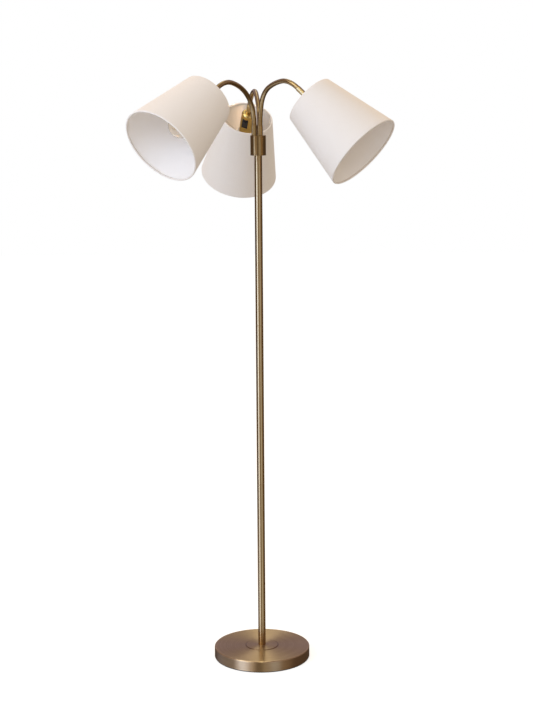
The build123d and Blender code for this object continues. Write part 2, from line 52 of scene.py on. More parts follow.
MM = 0.001  # metres in a millimetre
TURN = 2.0 * math.pi
WELD = 1e-6  # points closer than this are one, in metres

MATH = "ShaderNodeMath"
MIX = "ShaderNodeMix"
VECTOR_MATH = "ShaderNodeVectorMath"

Node = bpy.types.Node
Socket = bpy.types.NodeSocket
NodeInputs = dict[str | int, object] | Sequence[object]
Point = tuple[float, float]
Profile = list[Point]
Spot = tuple[float, float, float]
Radiance = tuple[float, float, float]

UP, DOWN = (0.0, 0.0, 1.0), (0.0, 0.0, -1.0)
LEFT, RIGHT = (-1.0, 0.0, 0.0), (1.0, 0.0, 0.0)  # as the camera sees them


# ------------------------------------------------------------------ colour and nodes
def linear(code: str) -> tuple[float, float, float, float]:
    """Turn an sRGB hex code into the linear colour that shaders take.

    Args:
        code: The colour as "#rrggbb".

    Returns:
        Linear red, green, blue and an alpha of 1.
    """
    parts = [int(code[i : i + 2], 16) / 255.0 for i in (1, 3, 5)]
    red, green, blue = (c / 12.92 if c <= 0.04045 else ((c + 0.055) / 1.055) ** 2.4 for c in parts)
    return red, green, blue, 1.0


class Tree:
    """A node tree that is filled one node at a time."""

    def __init__(self, tree: bpy.types.NodeTree) -> None:
        """Keep the tree and clear it."""
        self.tree = tree
        self.tree.nodes.clear()

    def add(self, kind: str, inputs: NodeInputs = (), **settings: object) -> Node:
        """Add a node with its settings, values and links.

        Args:
            kind: The node's type name.
            inputs: Values or output sockets, by input name or number, or in order.
            settings: Properties of the node itself.

        Returns:
            The new node.
        """
        node = self.tree.nodes.new(kind)
        for name, value in settings.items():
            setattr(node, name, value)
        pairs = inputs.items() if isinstance(inputs, dict) else enumerate(inputs)
        for key, value in pairs:
            socket = node.inputs[key]
            if isinstance(value, bpy.types.NodeSocket):
                self.tree.links.new(value, socket)
            else:
                socket.default_value = value
        return node

    def out(self, kind: str, inputs: NodeInputs = (), **settings: object) -> Socket:
        """Add a node and return the first output that its settings leave in use."""
        return next(socket for socket in self.add(kind, inputs, **settings).outputs if socket.enabled)


class Finish(Tree):
    """A material's node tree, which ends in one Principled shader."""

    def __init__(self, name: str) -> None:
        """Start the material under its name."""
        self.material = bpy.data.materials.new(name)
        self.material.use_nodes = True
        super().__init__(self.material.node_tree)

    def varied(self, noise: Socket, mean: float, spread: float) -> Socket:
        """Let a value vary with a noise of 0 to 1, about a mean."""
        return self.out(MATH, [noise, spread, mean - spread / 2], operation="MULTIPLY_ADD")

    def shade(self, look: NodeInputs) -> bpy.types.Material:
        """End the tree in a shader.

        Args:
            look: Values and sockets by the shader's input names.

        Returns:
            The finished material.
        """
        shader = self.add("ShaderNodeBsdfPrincipled", look)
        self.add("ShaderNodeOutputMaterial", {"Surface": shader.outputs["BSDF"]})
        return self.material


# ------------------------------------------------------------------ finishes
@dataclass(frozen=True)
class Edge:
    """A ring on a turned piece painted lighter or darker: rubbed wear with a painted highlight on an edge,
    or painted shade at a step.
    """

    radius: float
    height: float
    reach: float  # how far the change spreads, in millimetres as the rest
    change: float  # above 0 lighter: rubbed wear and a painted highlight; below 0 darker: painted shade


@dataclass(frozen=True)
class AgedBrass:
    """Antique brass: brass plate, darkened in a patina bath, brushed back on a lathe and lacquered.

    The eye gets a soft brown gold with lighter rings where the brush cut through the patina, long
    blurred highlights square to the rings, a painted highlight with rubbed wear on a rounded edge
    and painted shade at a step.
    """

    name: str
    patina: str
    brushed: str
    roughness: float
    streak: float
    ring_mm: float  # real brush lines are 0.1 mm apart, too fine to show
    anisotropy: float
    bump: float = 0.15
    fade_mm: float = 83.3  # length over which a brush line comes and goes
    cloud_mm: float = 60.0  # size of the darker and lighter patches of the patina
    edges: tuple[Edge, ...] = ()

    def build(self, axis: Matrix) -> bpy.types.Material:
        """Make the material for a turned piece.

        Args:
            axis: The piece's own frame in object space, its turning axis along Z.

        Returns:
            The node material.
        """
        tree = Finish(self.name)
        place = self.in_own_frame(tree, axis)
        split = tree.add("ShaderNodeSeparateXYZ", [place])
        flat = tree.out("ShaderNodeCombineXYZ", split.outputs[:2])
        radius = tree.out(VECTOR_MATH, [flat], operation="LENGTH")
        fine, coarse = 1.0 / (self.ring_mm * MM), 1.0 / (self.fade_mm * MM)
        stretched = [
            tree.out(MATH, [radius, fine], operation="MULTIPLY"),
            tree.out(MATH, [split.outputs[2], fine], operation="MULTIPLY"),
            tree.out(MATH, [split.outputs[0], coarse], operation="MULTIPLY"),
        ]
        rings = tree.out("ShaderNodeCombineXYZ", stretched)
        grain = tree.out("ShaderNodeTexNoise", {"Vector": rings, "Scale": 1.0, "Detail": 3.0})
        cloud = tree.out(
            "ShaderNodeTexNoise",
            {"Vector": place, "Scale": 1.0 / (self.cloud_mm * MM), "Detail": 4.0, "Roughness": 0.6},
        )
        tone = tree.varied(grain, 0.25, self.streak)
        tone = tree.out(MATH, [cloud, 0.5, tone], operation="MULTIPLY_ADD")  # half way on average
        # each given edge lightens the tone (painted highlight with rubbed wear) or darkens it (painted
        # shade)
        for edge in self.edges:
            near = self.near_edge(tree, edge, radius, split.outputs[2])
            tone = tree.out(MATH, [near, edge.change, tone], operation="MULTIPLY_ADD", use_clamp=True)
        shades = {"Factor": tone, "A": linear(self.patina), "B": linear(self.brushed)}
        relief = {"Height": grain, "Strength": self.bump, "Distance": self.ring_mm * 0.2 * MM}
        return tree.shade(
            {
                "Base Color": tree.out(MIX, shades, data_type="RGBA"),
                "Metallic": 1.0,
                "Roughness": tree.varied(grain, self.roughness, -0.4 * self.streak),  # brushed is glossier
                "Anisotropic": self.anisotropy,
                "Anisotropic Rotation": 0.25,  # light spreads across the rings
                "Tangent": self.along_rings(tree, axis, place),
                "Normal": tree.out("ShaderNodeBump", relief),
            }
        )

    @staticmethod
    def near_edge(tree: Tree, edge: Edge, radius: Socket, height: Socket) -> Socket:
        """Give 1 on an edge, falling to 0 beside it.

        Args:
            tree: The material's tree.
            edge: The ring.
            radius: The point's distance from the axis, in metres.
            height: Its height.

        Returns:
            The nearness.
        """
        away = [
            tree.out(MATH, [radius, edge.radius * MM], operation="SUBTRACT"),
            tree.out(MATH, [height, edge.height * MM], operation="SUBTRACT"),
        ]
        apart = tree.out(VECTOR_MATH, [tree.out("ShaderNodeCombineXYZ", away)], operation="LENGTH")
        span = {"Value": apart, "From Min": 0.0, "From Max": edge.reach * MM}
        return tree.out("ShaderNodeMapRange", span | {"To Min": 1.0, "To Max": 0.0})

    @staticmethod
    def in_own_frame(tree: Tree, axis: Matrix) -> Socket:
        """Read object coordinates turned into the piece's own frame.

        Args:
            tree: The material's tree.
            axis: The piece's frame in object space.

        Returns:
            The vector in that frame, in metres.
        """
        place = tree.add("ShaderNodeTexCoord").outputs["Object"]
        back = axis.inverted()
        turn = {"Vector": place, "Location": back.to_translation(), "Rotation": back.to_euler("XYZ")}
        return tree.out("ShaderNodeMapping", turn)

    @staticmethod
    def along_rings(tree: Tree, axis: Matrix, place: Socket) -> Socket:
        """Work out the direction of the rings at each point, for the highlight's stretch.

        Args:
            tree: The material's tree.
            axis: The piece's frame in object space.
            place: The point in that frame.

        Returns:
            The direction in the scene's space.
        """
        ring = tree.out(VECTOR_MATH, [UP, place], operation="CROSS_PRODUCT")
        turn = {"Vector": ring, "Rotation": axis.to_euler("XYZ")}
        turned = tree.out("ShaderNodeMapping", turn, vector_type="VECTOR")
        ways = {"vector_type": "VECTOR", "convert_from": "OBJECT", "convert_to": "WORLD"}
        world = tree.out("ShaderNodeVectorTransform", [turned], **ways)
        return tree.out(VECTOR_MATH, [world], operation="NORMALIZE")


@dataclass(frozen=True)
class WoundBrass:
    """Gooseneck sheath: brass plated steel strip wound in a spiral and darkened with the rest.

    The eye gets a smooth brown gold tube whose turns show as faint lighter ridges, rubbed where
    hands bend it.
    """

    name: str = "gooseneck_wound_brass_plated_steel"
    groove: str = "#735a36"
    ridge: str = "#bd9d68"
    roughness: float = 0.2
    stain_mm: float = 18.0

    def build(self) -> bpy.types.Material:
        """Make the material, which reads the height that the winding stores on its mesh.

        Returns:
            The node material.
        """
        tree = Finish(self.name)
        height = tree.add("ShaderNodeAttribute", attribute_name="ridge_height").outputs["Fac"]
        place = tree.add("ShaderNodeTexCoord").outputs["Object"]
        scale = 1.0 / (self.stain_mm * MM)
        stain = tree.out("ShaderNodeTexNoise", {"Vector": place, "Scale": scale, "Detail": 4.0})
        worn = tree.out(MATH, [height, tree.varied(stain, 0.0, 0.5)], operation="ADD", use_clamp=True)
        shades = {"Factor": worn, "A": linear(self.groove), "B": linear(self.ridge)}
        return tree.shade(
            {
                "Base Color": tree.out(MIX, shades, data_type="RGBA"),
                "Metallic": 1.0,
                "Roughness": tree.varied(stain, self.roughness, 0.14),
            }
        )


class Yarn(Enum):
    """The two sets of threads in the cloth, named with the side of the sheet they cross."""

    WEFT = "X"
    WARP = "Y"


@dataclass(frozen=True)
class ShadeCloth:
    """Cotton and linen cloth laminated on a stiff sheet, cut flat and rolled into a cone.

    The eye gets a matt off-white with a faint cross weave, a few thicker threads and a soft bloom
    at grazing angles.
    """

    name: str = "shade_cotton_linen_cloth"
    thread: str = "#f3ebe3"
    gap: str = "#e5d9cd"
    thread_mm: float = 0.9  # real threads are 0.5 mm apart, too fine to show
    slub_mm: float = 70.0  # length of the thicker stretches of yarn
    slub_width_mm: float = 1.4
    slub_height: float = 0.8  # of a thread's own height
    roughness: float = 0.92
    relief: float = 0.35

    def build(self) -> bpy.types.Material:
        """Make the material. The UV map holds the cut sheet in metres.

        Returns:
            The node material.
        """
        tree = Finish(self.name)
        flat = tree.add("ShaderNodeUVMap", uv_map="cut_sheet").outputs["UV"]
        both = tree.out(MATH, [self.threads(tree, flat, yarn) for yarn in Yarn], operation="ADD")
        weave = tree.out(MATH, [both, 0.36], operation="MULTIPLY")  # mostly from 0 to 1 again
        shades = {"Factor": weave, "A": linear(self.gap), "B": linear(self.thread)}
        relief = {"Height": weave, "Strength": self.relief, "Distance": self.thread_mm * 0.15 * MM}
        return tree.shade(
            {
                "Base Color": tree.out(MIX, shades, data_type="RGBA", clamp_factor=True),
                "Roughness": self.roughness,
                "Sheen Weight": 0.15,
                "Sheen Roughness": 0.5,
                "Normal": tree.out("ShaderNodeBump", relief),
            }
        )

    def threads(self, tree: Tree, flat: Socket, yarn: Yarn) -> Socket:
        """Draw one set of threads with its thicker stretches.

        Args:
            tree: The material's tree.
            flat: Place on the cut sheet, in metres.
            yarn: Which set.

        Returns:
            The height of the threads.
        """
        bands = 2.0 / (TURN * self.thread_mm * MM)  # close to one band for each thread
        wave = tree.add(
            "ShaderNodeTexWave",
            {"Vector": flat, "Scale": bands, "Distortion": 1.2, "Detail": 1.0},
            wave_type="BANDS",
            bands_direction=yarn.value,
        )
        along, across = 1.0 / (self.slub_mm * MM), 1.0 / (self.slub_width_mm * MM)
        scale = (across, along, 0.0) if yarn is Yarn.WEFT else (along, across, 0.0)
        drawn = tree.out("ShaderNodeMapping", {"Vector": flat, "Scale": scale})
        thick = tree.out("ShaderNodeTexNoise", {"Vector": drawn, "Scale": 1.0, "Detail": 2.0})
        return tree.out(MATH, [thick, self.slub_height, wave.outputs["Fac"]], operation="MULTIPLY_ADD")


@dataclass(frozen=True)
class Moulded:
    """A moulded, coated, plated or cast finish: one colour, mottled, with a pebbled surface.

    The eye gets an even tone whose gloss breaks up slightly, as moulded plastic, powder coat,
    rubber, foam or plain plating does.
    """

    name: str
    colour: str
    shadow: str
    roughness: float
    grain_mm: float
    bump: float = 0.1
    metallic: float = 0.0
    coat: float = 0.0
    blotch: float = 12.0  # size of the mottling, in grains

    def build(self) -> bpy.types.Material:
        """Make the material from two noises in object space.

        Returns:
            The node material.
        """
        tree = Finish(self.name)
        place = tree.add("ShaderNodeTexCoord").outputs["Object"]
        scale = 1.0 / (self.grain_mm * MM)
        grain = tree.out("ShaderNodeTexNoise", {"Vector": place, "Scale": scale, "Detail": 3.0})
        large = {"Vector": place, "Scale": scale / self.blotch, "Detail": 2.0}
        both = tree.out(MATH, [grain, tree.out("ShaderNodeTexNoise", large)], operation="ADD")
        tone = tree.out(MATH, [both, 0.5], operation="MULTIPLY")
        shades = {"Factor": tone, "A": linear(self.shadow), "B": linear(self.colour)}
        relief = {"Height": grain, "Strength": self.bump, "Distance": self.grain_mm * 0.2 * MM}
        return tree.shade(
            {
                "Base Color": tree.out(MIX, shades, data_type="RGBA"),
                "Metallic": self.metallic,
                "Roughness": tree.varied(grain, self.roughness, 0.12),
                "Coat Weight": self.coat,
                "Normal": tree.out("ShaderNodeBump", relief),
            }
        )


@dataclass(frozen=True)
class LampGlass:
    """Blown soda-lime glass with a faint amber tint, clear and glossy, slightly uneven in tint."""

    name: str = "bulb_blown_amber_glass"
    tint: str = "#fdf6ea"
    pale: str = "#fefbf5"
    roughness: float = 0.05
    ior: float = 1.3  # thin glass bends what is behind it less than a block would
    drift_mm: float = 40.0

    def build(self) -> bpy.types.Material:
        """Make the transmitting material.

        Returns:
            The node material.
        """
        tree = Finish(self.name)
        place = tree.add("ShaderNodeTexCoord").outputs["Object"]
        scale = 1.0 / (self.drift_mm * MM)
        drift = tree.out("ShaderNodeTexNoise", {"Vector": place, "Scale": scale, "Detail": 2.0})
        shades = {"Factor": drift, "A": linear(self.tint), "B": linear(self.pale)}
        return tree.shade(
            {
                "Base Color": tree.out(MIX, shades, data_type="RGBA"),
                "Roughness": self.roughness,
                "IOR": self.ior,
                "Transmission Weight": 1.0,
            }
        )


# ------------------------------------------------------------------ meshes
def object_from(
    name: str, mesh: bpy.types.Mesh, materials: Sequence[bpy.types.Material]
) -> bpy.types.Object:
    """Link a mesh into the scene as a piece with its materials.

    Args:
        name: The piece's name.
        mesh: Its mesh, already in the lamp's frame.
        materials: Materials by slot.

    Returns:
        The object at the origin.
    """
    mesh.name = name
    mesh.materials.clear()
    for material in materials:
        mesh.materials.append(material)
    piece = bpy.data.objects.new(name, mesh)
    bpy.context.scene.collection.objects.link(piece)
    return piece


def smooth(mesh: bpy.types.Mesh, sharp_deg: float = 35.0) -> None:
    """Shade a mesh smooth with sharp edges where faces meet at more than an angle."""
    mesh.polygons.foreach_set("use_smooth", [True] * len(mesh.polygons))
    mesh.set_sharp_from_angle(angle=math.radians(sharp_deg))


def even_steps(count: int) -> list[float]:
    """Return the angles of even steps round a full turn."""
    return [TURN * i / count for i in range(count)]


def turned_mesh(
    name: str, profile: Sequence[Point], steps: Sequence[float], place: Matrix, closed: bool = True
) -> bpy.types.Mesh:
    """Turn a profile about Z and put the result in place.

    Args:
        name: Mesh name.
        profile: Points of (radius, height) in millimetres. A radius of 0 becomes one pole point.
        steps: Angles around, rising.
        place: Where the piece stands, in metres.
        closed: Whether the last point joins the first.

    Returns:
        The mesh with outward faces.
    """
    shape = bmesh.new()
    rings = []
    for radius, height in profile:
        if radius <= 0.0:
            rings.append([shape.verts.new((0.0, 0.0, height * MM))] * len(steps))
            continue
        wide, rise = radius * MM, height * MM
        rings.append([shape.verts.new((wide * math.cos(a), wide * math.sin(a), rise)) for a in steps])
    pairs = list(zip(rings, rings[1:])) + ([(rings[-1], rings[0])] if closed else [])
    for low, high in pairs:
        for i in range(len(steps)):
            j = (i + 1) % len(steps)
            corners = list(dict.fromkeys((low[i], low[j], high[j], high[i])))
            if len(corners) > 2:
                shape.faces.new(corners)
    bmesh.ops.recalc_face_normals(shape, faces=shape.faces)
    shape.transform(place)
    mesh = bpy.data.meshes.new(name)
    shape.to_mesh(mesh)
    shape.free()
    smooth(mesh)
    return mesh


def dress_nodes(material: bpy.types.Material, *names: str) -> None:
    """Give carried-over CAD pieces one material in every slot.

    Args:
        material: Their finish.
        names: The pieces' names.
    """
    for name in names:
        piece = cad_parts[name]
        if not piece.material_slots:
            piece.data.materials.append(material)
        for slot in piece.material_slots:
            slot.material = material
        LOG.info("dressed %s in %s", name, material.name)


def settle(piece: bpy.types.Object, body: str) -> None:
    """Let a piece ride on a body.

    Args:
        piece: The piece.
        body: The body's name.
    """
    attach(piece, body)
    LOG.info("made %s on %s", piece.name, body)


# ------------------------------------------------------------------ geometry nodes
class GeometryTree(Tree):
    """A geometry node group with named inputs, run on an empty mesh and kept as a plain mesh."""

    def __init__(self, name: str, inputs: dict[str, tuple[str, object]]) -> None:
        """Make the group.

        Args:
            name: Group name.
            inputs: For each input its socket type and default value.
        """
        group = bpy.data.node_groups.new(name, "GeometryNodeTree")
        super().__init__(group)
        group.interface.new_socket("Geometry", in_out="OUTPUT", socket_type="NodeSocketGeometry")
        for label, (kind, value) in inputs.items():
            socket = group.interface.new_socket(label, in_out="INPUT", socket_type=kind)
            if value is not None:
                socket.default_value = value
        self.start = self.add("NodeGroupInput")

    def value(self, label: str) -> Socket:
        """Return the output that carries a named input."""
        return self.start.outputs[label]

    def close(self, geometry: Socket) -> None:
        """End the tree with real geometry and its material.

        Args:
            geometry: What the tree has made, instances included.
        """
        real = self.out("GeometryNodeRealizeInstances", [geometry])
        dressed = self.out("GeometryNodeSetMaterial", {0: real, "Material": self.value("Material")})
        self.add("NodeGroupOutput", [dressed])

    def run(self, name: str, values: dict[str, object]) -> bpy.types.Mesh:
        """Evaluate the tree with these values.

        Args:
            name: Name of the mesh that comes out.
            values: Values by input name.

        Returns:
            A plain mesh with nothing live on it.
        """
        carrier = bpy.data.objects.new(name, bpy.data.meshes.new(name))
        bpy.context.scene.collection.objects.link(carrier)
        modifier = carrier.modifiers.new("shape", "NODES")
        modifier.node_group = self.tree
        sockets = [item for item in self.tree.interface.items_tree if item.in_out == "INPUT"]
        identifiers = {socket.name: socket.identifier for socket in sockets}
        for label, value in values.items():
            modifier[identifiers[label]] = value
        graph = bpy.context.evaluated_depsgraph_get()
        mesh = bpy.data.meshes.new_from_object(carrier.evaluated_get(graph))
        bpy.data.objects.remove(carrier)
        return mesh


def winding_tree() -> GeometryTree:
    """Build the tree of a wound tube that follows one arc.

    A grid is laid along and around the arc. Its radius falls and rises with the distance along
    plus the share of a turn around, which makes one unbroken spiral ridge.

    Returns:
        The tree, with sizes in metres, the bend in radians and the lead in turns.
    """
    tree = GeometryTree(
        "wound_tube_on_arc",
        {
            "Radius": ("NodeSocketFloat", 0.006),
            "Length": ("NodeSocketFloat", 0.057),
            "Bend": ("NodeSocketFloat", 0.5),
            "Pitch": ("NodeSocketFloat", 0.0038),
            "Groove": ("NodeSocketFloat", 0.00016),
            "Lead": ("NodeSocketFloat", 0.0),
            "Rings": ("NodeSocketInt", 150),
            "Sides": ("NodeSocketInt", 33),
            "Material": ("NodeSocketMaterial", None),
        },
    )
    counts = {"Vertices X": tree.value("Rings"), "Vertices Y": tree.value("Sides")}
    grid = tree.out("GeometryNodeMeshGrid", {"Size X": 1.0, "Size Y": 1.0} | counts)
    spot = tree.add("ShaderNodeSeparateXYZ", [tree.out("GeometryNodeInputPosition")])
    along = tree.out(MATH, [spot.outputs[0], 0.5], operation="ADD")
    around = tree.out(MATH, [spot.outputs[1], 0.5], operation="ADD")

    distance = tree.out(MATH, [along, tree.value("Length")], operation="MULTIPLY")
    pitches = tree.out(MATH, [distance, tree.value("Pitch")], operation="DIVIDE")
    turns = tree.out(MATH, [pitches, tree.value("Lead")], operation="ADD")
    phase = tree.out(MATH, [turns, around], operation="SUBTRACT")
    wave = tree.out(MATH, [tree.out(MATH, [phase, TURN], operation="MULTIPLY")], operation="COSINE")
    swell = tree.out(MATH, [wave, 0.5, 0.5], operation="MULTIPLY_ADD")
    height = tree.out(MATH, [swell], operation="SQRT")  # broad ridges, narrow grooves
    stored = {"Geometry": grid, "Name": "ridge_height", "Value": height}
    kept = tree.out("GeometryNodeStoreNamedAttribute", stored, data_type="FLOAT", domain="POINT")

    fall = tree.out(MATH, [1.0, height], operation="SUBTRACT")
    sunk = tree.out(MATH, [fall, tree.value("Groove")], operation="MULTIPLY")
    radius = tree.out(MATH, [tree.value("Radius"), sunk], operation="SUBTRACT")
    angle = tree.out(MATH, [around, TURN], operation="MULTIPLY")
    inward = tree.out(MATH, [radius, tree.out(MATH, [angle], operation="COSINE")], operation="MULTIPLY")
    aside = tree.out(MATH, [radius, tree.out(MATH, [angle], operation="SINE")], operation="MULTIPLY")

    bend = tree.out(MATH, [along, tree.value("Bend")], operation="MULTIPLY")
    sweep_r = tree.out(MATH, [tree.value("Length"), tree.value("Bend")], operation="DIVIDE")
    reach = tree.out(MATH, [sweep_r, inward], operation="SUBTRACT")
    back = tree.out(MATH, [reach, tree.out(MATH, [bend], operation="COSINE")], operation="MULTIPLY")
    ahead = tree.out(MATH, [sweep_r, back], operation="SUBTRACT")
    up = tree.out(MATH, [reach, tree.out(MATH, [bend], operation="SINE")], operation="MULTIPLY")
    place = tree.out("ShaderNodeCombineXYZ", [ahead, aside, up])
    bent = tree.out("GeometryNodeSetPosition", {"Geometry": kept, "Position": place})
    joined = tree.out("GeometryNodeMergeByDistance", {0: bent, "Distance": WELD})
    tree.close(tree.out("GeometryNodeSetShadeSmooth", [joined]))
    return tree


def filament_tree() -> GeometryTree:
    """Build the tree that stands filament strips in a ring, each with its two support wires.

    Returns:
        The tree, with sizes in metres.
    """
    tree = GeometryTree(
        "filament_ring",
        {
            "Count": ("NodeSocketInt", 4),
            "Ring": ("NodeSocketFloat", 0.007),
            "Strip Radius": ("NodeSocketFloat", 0.0009),
            "Strip Length": ("NodeSocketFloat", 0.032),
            "Wire Radius": ("NodeSocketFloat", 0.0003),
            "Wire Rise": ("NodeSocketFloat", 0.004),
            "Lean": ("NodeSocketFloat", 0.12),
            "Base": ("NodeSocketFloat", 0.08),
            "Material": ("NodeSocketMaterial", None),
        },
    )
    sizes = {"Vertices": 10, "Radius": tree.value("Strip Radius"), "Depth": tree.value("Strip Length")}
    strip = tree.out("GeometryNodeMeshCylinder", sizes)
    section = {"Resolution": 6, "Radius": tree.value("Wire Radius")}
    gauge = tree.out("GeometryNodeCurvePrimitiveCircle", section)
    inward = tree.out(MATH, [tree.value("Ring"), -0.9], operation="MULTIPLY")  # nearly to the axis
    wires = []
    for side in (-1.0, 1.0):
        # each wire starts just inside the strip's end
        end = tree.out(MATH, [tree.value("Strip Length"), side * 0.49], operation="MULTIPLY")
        far = tree.out(MATH, [tree.value("Wire Rise"), side, end], operation="MULTIPLY_ADD")
        ends = {
            "Start": tree.out("ShaderNodeCombineXYZ", {2: end}),
            "End": tree.out("ShaderNodeCombineXYZ", {0: inward, 2: far}),
        }
        run = tree.out("GeometryNodeCurvePrimitiveLine", ends)
        drawn = {"Curve": run, "Profile Curve": gauge, "Fill Caps": True}
        wires.append(tree.out("GeometryNodeCurveToMesh", drawn))
    joined = tree.add("GeometryNodeJoinGeometry")
    for piece in (strip, *wires):
        tree.tree.links.new(piece, joined.inputs[0])
    feet = {"Vertices": tree.value("Count"), "Radius": tree.value("Ring")}
    ring = tree.out("GeometryNodeMeshCircle", feet)
    share = tree.out(MATH, [tree.out("GeometryNodeInputIndex"), tree.value("Count")], operation="DIVIDE")
    heading = tree.out(MATH, [share, TURN], operation="MULTIPLY")
    turn = tree.out("ShaderNodeCombineXYZ", {1: tree.value("Lean"), 2: heading})
    places = {"Points": ring, "Instance": joined.outputs[0], "Rotation": turn}
    stood = tree.out("GeometryNodeInstanceOnPoints", places)
    lift = tree.out("ShaderNodeCombineXYZ", {2: tree.value("Base")})
    tree.close(tree.out("GeometryNodeTransform", {"Geometry": stood, "Translation": lift}))
    return tree


# ------------------------------------------------------------------ sub-assemblies
@dataclass(frozen=True)
class Stand:
    """Base, pole and hub, all about the lamp's upright axis."""

    base_r: float = 125.0
    base_top: float = 30.0
    edge_in: float = 0.9  # from the corner of the base to the middle of its rounded edge
    disc_r: float = 42.3

    def dress(self) -> None:
        """Give the stand's CAD pieces their finishes."""
        upright = Matrix.Identity(4)
        # lighter ring on the rounded rim: rubbed wear and a painted highlight standing in for the edge's
        # glint
        rim = Edge(self.base_r - self.edge_in, self.base_top - self.edge_in, reach=3.4, change=1.2)
        # dark ring where the raised disc steps up from the base top: painted shade under the step
        corner = Edge(self.disc_r, self.base_top, reach=2.6, change=-1.3)
        base = AgedBrass(
            "base_antique_brass_spun",
            "#8a6c4a",
            "#c2a377",
            roughness=0.34,
            streak=0.4,
            ring_mm=1.4,
            anisotropy=0.95,
            edges=(rim, corner),
        )
        pole = AgedBrass("pole_antique_brass_tube", "#94754a", "#cbad7b", 0.2, 0.06, 3.0, 0.8, bump=0.0)
        # hub brass darker than the pole's: painted shade for the light that the shades hanging close round
        # the hub keep off it
        hub = AgedBrass("hub_antique_brass_painted_shade", "#7d603a", "#b39462", 0.24, 0.2, 2.0, 0.6, bump=0.04)
        zinc = Moulded("inner_steel_zinc_plated", "#c9ccd0", "#a9adb3", 0.32, 2.0, bump=0.08, metallic=1.0)
        cement = Moulded("weight_cast_cement", "#b4b0a8", "#8f8b84", 0.85, 2.5, bump=0.5)
        foam = Moulded("pad_black_foam", "#1f1e1d", "#121211", 0.9, 0.8, bump=0.6)
        rubber = Moulded("grommet_black_rubber", "#1b1a19", "#0f0f0e", 0.6, 1.2)
        vinyl = Moulded("lead_brown_pvc", "#8f7550", "#7c6443", 0.5, 2.0)
        screwed = ("base_nipple", "base_nut", "pole_couplings", "pole_end_inserts", "hub_nipple")
        dress_nodes(base.build(upright), "base_cover")
        dress_nodes(pole.build(upright), "pole_lower", "pole_middle", "pole_upper")
        dress_nodes(hub.build(upright), "hub_cover", "hub_plate")
        dress_nodes(zinc.build(), *screwed)
        dress_nodes(cement.build(), "base_weight")
        dress_nodes(foam.build(), "base_pad")
        dress_nodes(rubber.build(), "cord_grommet")
        dress_nodes(vinyl.build(), "inner_lead")


@dataclass(frozen=True)
class Arc:
    """One length of a gooseneck: the frames at its ends, its bend and the twist before it."""

    start: Matrix
    end: Matrix
    bend: float  # in radians
    twist: float  # in turns


@dataclass(frozen=True)
class GooseneckArm:
    """One flexible arm: four arcs of wound tube between two ferrules."""

    name: str
    place_deg: float  # where its foot stands about the lamp's axis
    heading_deg: float  # which way its first length bends
    bends: tuple[tuple[float, float], ...]  # twist before each length and its bend, in degrees
    seam_deg: float  # angle of the shade's seam, away from the camera
    switch_turn_deg: float = 0.0
    pitch_radius: float = 9.5  # of the circle that the three feet stand on
    start_z: float = 1390.9
    length: float = 228.0
    tube_radius: float = 6.0
    strip_pitch: float = 3.8  # real strip is about 3 mm wide, drawn coarser so that it shows
    groove: float = 0.16
    rings: int = 150  # points along each length
    sides: int = 33  # points around, the first and last one the same
    ferrule_length: float = 25.0
    cup_rise: float = 17.5  # from the ferrule's end to the shade's top edge
    cap_edge_deg: float = 60.0  # steeper than the winding's own slopes

    def arcs(self) -> list[Arc]:
        """Walk along the arm, length by length.

        Returns:
            Its lengths from the stand to the head, in metres.
        """
        place, heading = math.radians(self.place_deg), math.radians(self.heading_deg)
        foot = Vector((math.cos(place), math.sin(place), 0.0)) * self.pitch_radius
        foot.z = self.start_z
        at = Matrix.Translation(foot * MM) @ Matrix.Rotation(heading, 4, "Z")
        step = self.length / len(self.bends) * MM
        found = []
        for twist_deg, bend_deg in self.bends:
            start = at @ Matrix.Rotation(math.radians(twist_deg), 4, "Z")
            bend = math.radians(bend_deg)
            radius = step / bend
            out = Vector((radius * (1.0 - math.cos(bend)), 0.0, radius * math.sin(bend)))
            at = start @ Matrix.Translation(out) @ Matrix.Rotation(bend, 4, "Y")
            found.append(Arc(start, at, bend, twist_deg / 360.0))
        return found

    def head_frame(self) -> Matrix:
        """Work out where the lamp head sits.

        Returns:
            Its frame: origin in the shade's top edge, Z down the shade.
        """
        end = self.arcs()[-1].end
        shift = Matrix.Translation((0.0, 0.0, (self.ferrule_length + self.cup_rise) * MM))
        return end @ shift @ Matrix.Rotation(math.radians(self.switch_turn_deg), 4, "Z")

    def bodies(self) -> list[str]:
        """Return the bodies along the arm, from the stand to the head."""
        return ["stand"] + [f"{self.name}_{part}" for part in ("arm_low", "arm_mid", "arm_high", "head")]

    def build(self, tree: GeometryTree, brass: bpy.types.Material) -> None:
        """Wind the four lengths, set each in place and hide the CAD length that it stands for.

        Args:
            tree: The winding tree.
            brass: The sheath's material.
        """
        lead = 0.0
        step = self.length / len(self.bends)
        for number, arc in enumerate(self.arcs(), start=1):
            lead -= arc.twist
            name = f"{self.name}_winding_{number}"
            values = {
                "Radius": self.tube_radius * MM,
                "Length": step * MM,
                "Bend": arc.bend,
                "Pitch": self.strip_pitch * MM,
                "Groove": self.groove * MM,
                "Lead": lead,
                "Rings": self.rings,
                "Sides": self.sides,
                "Material": brass,
            }
            mesh = tree.run(name, values)
            self.close_ends(mesh)
            mesh.transform(arc.start)
            piece = object_from(name, mesh, [brass])
            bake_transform(piece)
            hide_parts(f"{self.name}_gooseneck_{number}")
            lead += step / self.strip_pitch

    def close_ends(self, mesh: bpy.types.Mesh) -> None:
        """Fill the tube's two ends and point every face outwards.

        Args:
            mesh: The open tube.
        """
        shape = bmesh.new()
        shape.from_mesh(mesh)
        bmesh.ops.holes_fill(shape, edges=[e for e in shape.edges if e.is_boundary])
        bmesh.ops.recalc_face_normals(shape, faces=shape.faces)
        shape.to_mesh(mesh)
        shape.free()
        smooth(mesh, self.cap_edge_deg)


